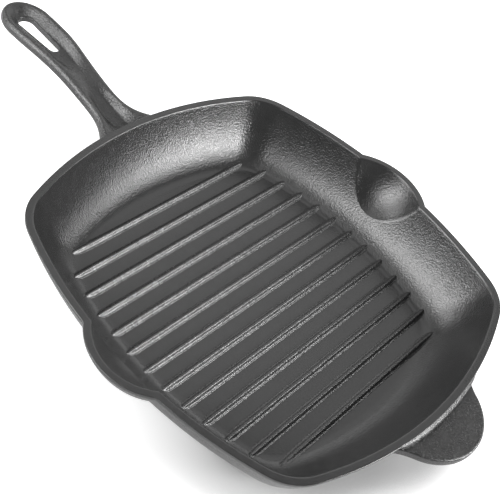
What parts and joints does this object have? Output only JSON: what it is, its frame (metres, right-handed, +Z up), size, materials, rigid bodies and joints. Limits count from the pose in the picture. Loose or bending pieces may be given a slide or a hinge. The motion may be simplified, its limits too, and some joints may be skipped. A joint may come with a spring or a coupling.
{
  "type": "griddle",
  "caption": "Square cast iron griddle with a ridged flat floor, curved walls, a pouring lip on each side, a long handle with a hanging slot and a short helper handle.",
  "frame": {"origin": "centre of the flat underside, on the resting plane", "axes": "+X from the dish's middle towards the helper handle, with the long handle along -X; +Y towards the pouring lip on the left of someone who holds the long handle; +Z up, out of the dish"},
  "size_m": [0.4246, 0.2782, 0.0523],
  "materials": {
    "iron": "seasoned, matt to satin, with a fine sand-cast grain"
  },
  "bodies": {
    "root": {"pan_floor": "iron", "handle_end_wall": "iron", "helper_end_wall": "iron", "left_pouring_lip": "iron", "right_pouring_lip": "iron", "ridge_01": "iron", "ridge_02": "iron", "ridge_03": "iron", "ridge_04": "iron", "ridge_05": "iron", "ridge_06": "iron", "ridge_07": "iron", "ridge_08": "iron", "ridge_09": "iron", "ridge_10": "iron", "ridge_11": "iron", "ridge_12": "iron", "ridge_13": "iron", "long_handle": "iron", "helper_handle": "iron"}
  },
  "joints": []
}
